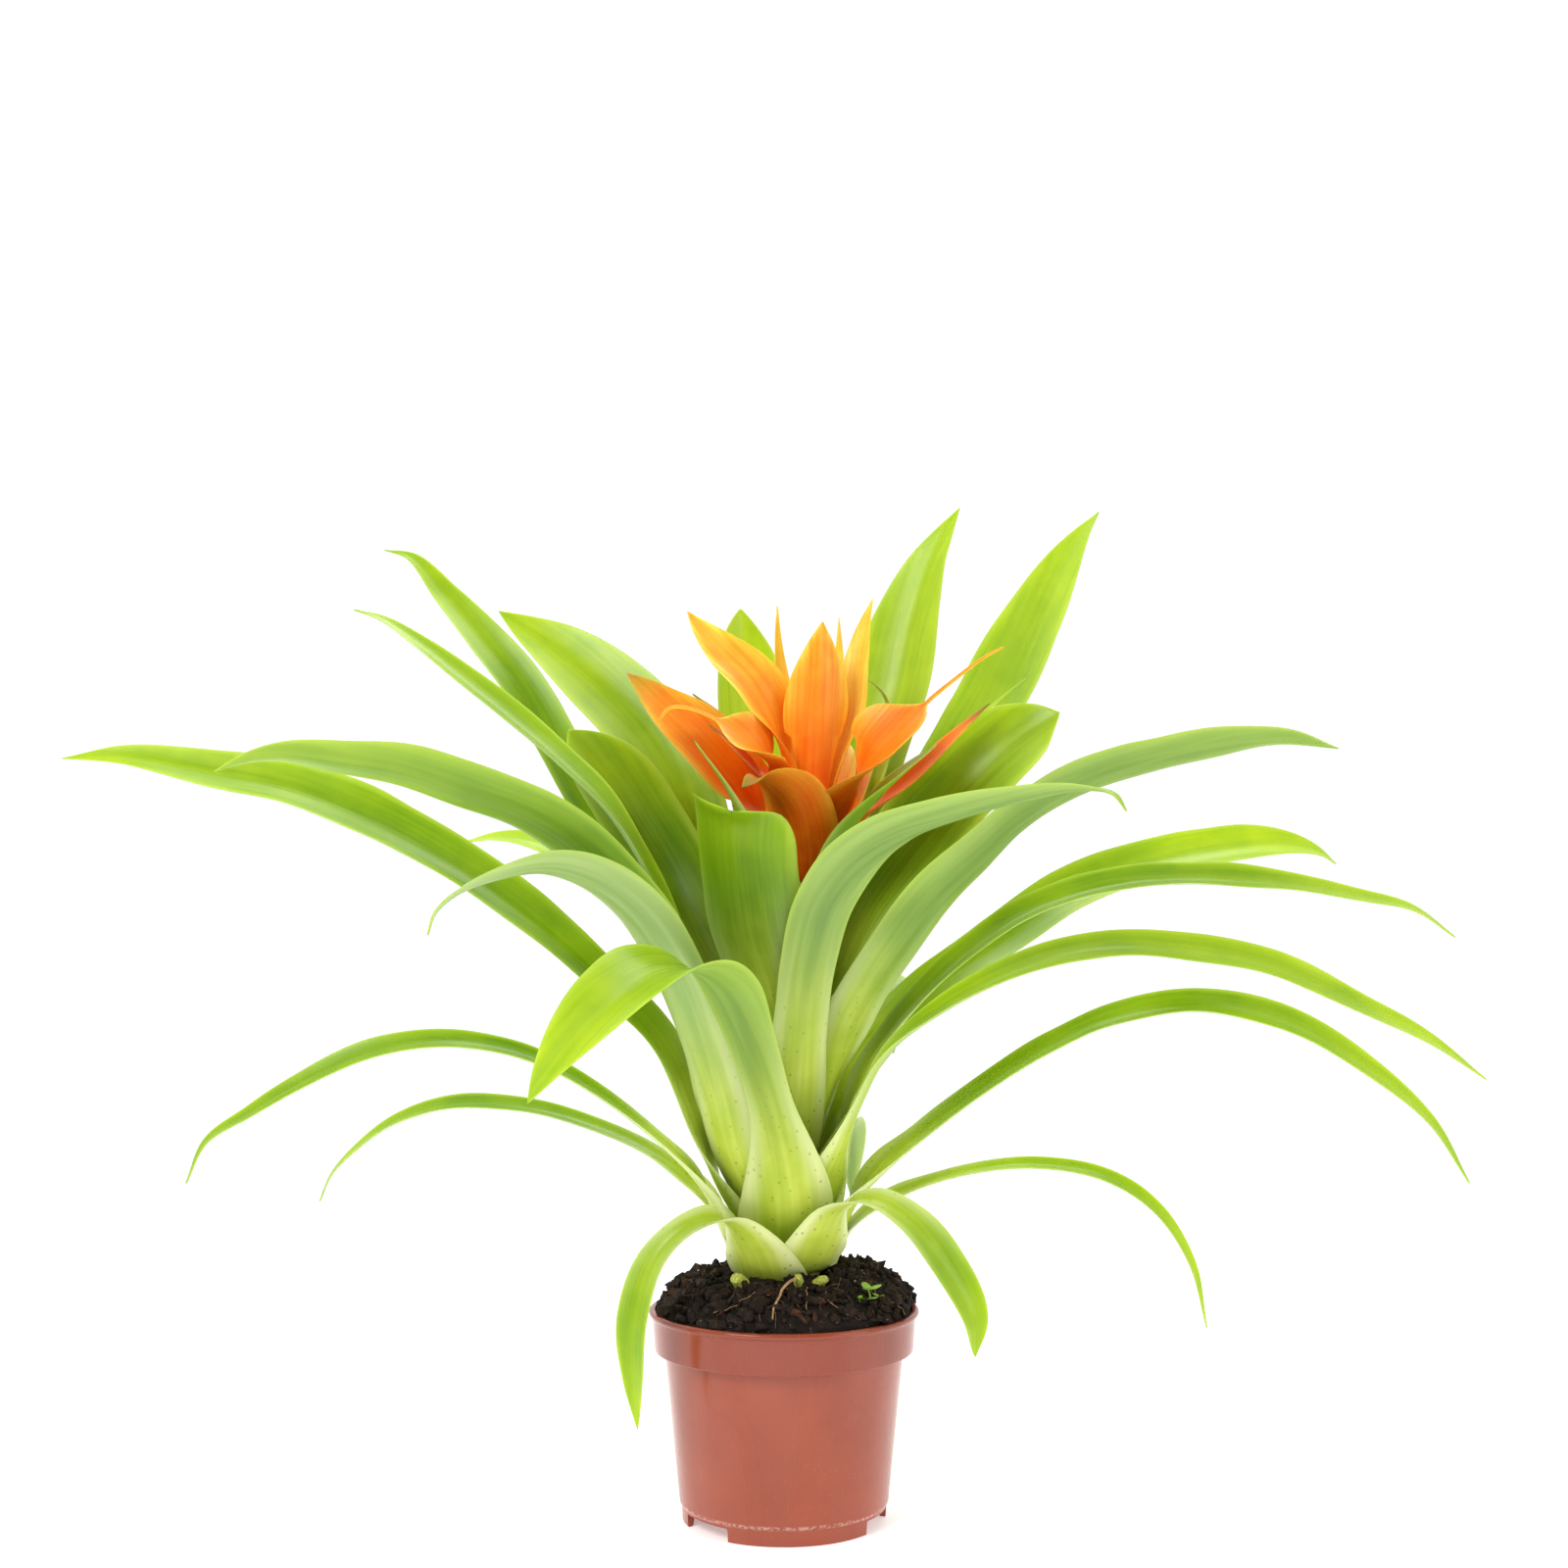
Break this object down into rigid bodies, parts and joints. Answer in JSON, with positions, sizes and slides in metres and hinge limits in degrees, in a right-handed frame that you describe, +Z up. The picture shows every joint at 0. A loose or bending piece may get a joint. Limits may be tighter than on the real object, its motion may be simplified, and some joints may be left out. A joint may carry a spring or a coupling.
{
  "type": "potted bromeliad",
  "caption": "Bromeliad in a small moulded nursery pot: arching strap leaves round a star of pointed bracts.",
  "frame": {"origin": "centre of the pot's foot, on the surface that it stands on", "axes": "+Z up, +X to the plant's long side (right as seen from its front), -Y towards its front"},
  "size_m": [0.616, 0.27, 0.464],
  "materials": {
    "pot": "satin",
    "soil": "matte",
    "stem": "satin",
    "leaf": "satin",
    "bract": "satin",
    "root": "matte"
  },
  "bodies": {
    "root": {"pot": "pot", "soil": "soil", "stem": "stem", "loose_root": "root", "seedling": "leaf", "leaf_front_left_low": "leaf", "leaf_front_right_low": "leaf", "leaf_right_thin": "leaf", "leaf_left_low_back": "leaf", "leaf_back_low": "leaf", "leaf_back_right_low": "leaf", "leaf_left_low_front": "leaf", "leaf_right_low": "leaf", "leaf_front_folded": "leaf", "leaf_left_long": "leaf", "leaf_back_long": "leaf", "leaf_left_bent": "leaf", "leaf_right_middle": "leaf", "leaf_back_left": "leaf", "leaf_back_right": "leaf", "leaf_left_second": "leaf", "leaf_right_high": "leaf", "leaf_left_back_low": "leaf", "leaf_right_lime": "leaf", "leaf_left_upper": "leaf", "leaf_left_upper_back": "leaf", "leaf_front_arched": "leaf", "leaf_back_right_upright": "leaf", "leaf_right_upper": "leaf", "leaf_inner_left": "leaf", "leaf_front_notched": "leaf", "leaf_inner_right": "leaf", "leaf_left_back_broad": "leaf", "leaf_back_right_tall": "leaf", "leaf_back_tall": "leaf", "leaf_back_high": "leaf", "leaf_back_rounded": "leaf", "leaf_inner_front_right": "leaf", "leaf_inner_pale": "leaf", "leaf_inner_narrow": "leaf", "bract_foot_pale": "leaf", "bract_left_green": "leaf", "bract_front_low": "bract", "bract_front_right_small": "bract", "bract_left_far": "bract", "bract_back_left": "bract", "bract_back_right": "bract", "bract_left_dark": "bract", "bract_right_brown": "bract", "bract_left_sliver": "bract", "bract_right_thread": "bract", "bract_back": "bract", "bract_left_curled": "bract", "bract_upper_left": "bract", "bract_upper_right": "bract", "bract_centre": "bract", "bract_upper_left_thin": "bract", "bract_upper_sliver": "bract", "bract_inner": "bract"}
  },
  "joints": []
}
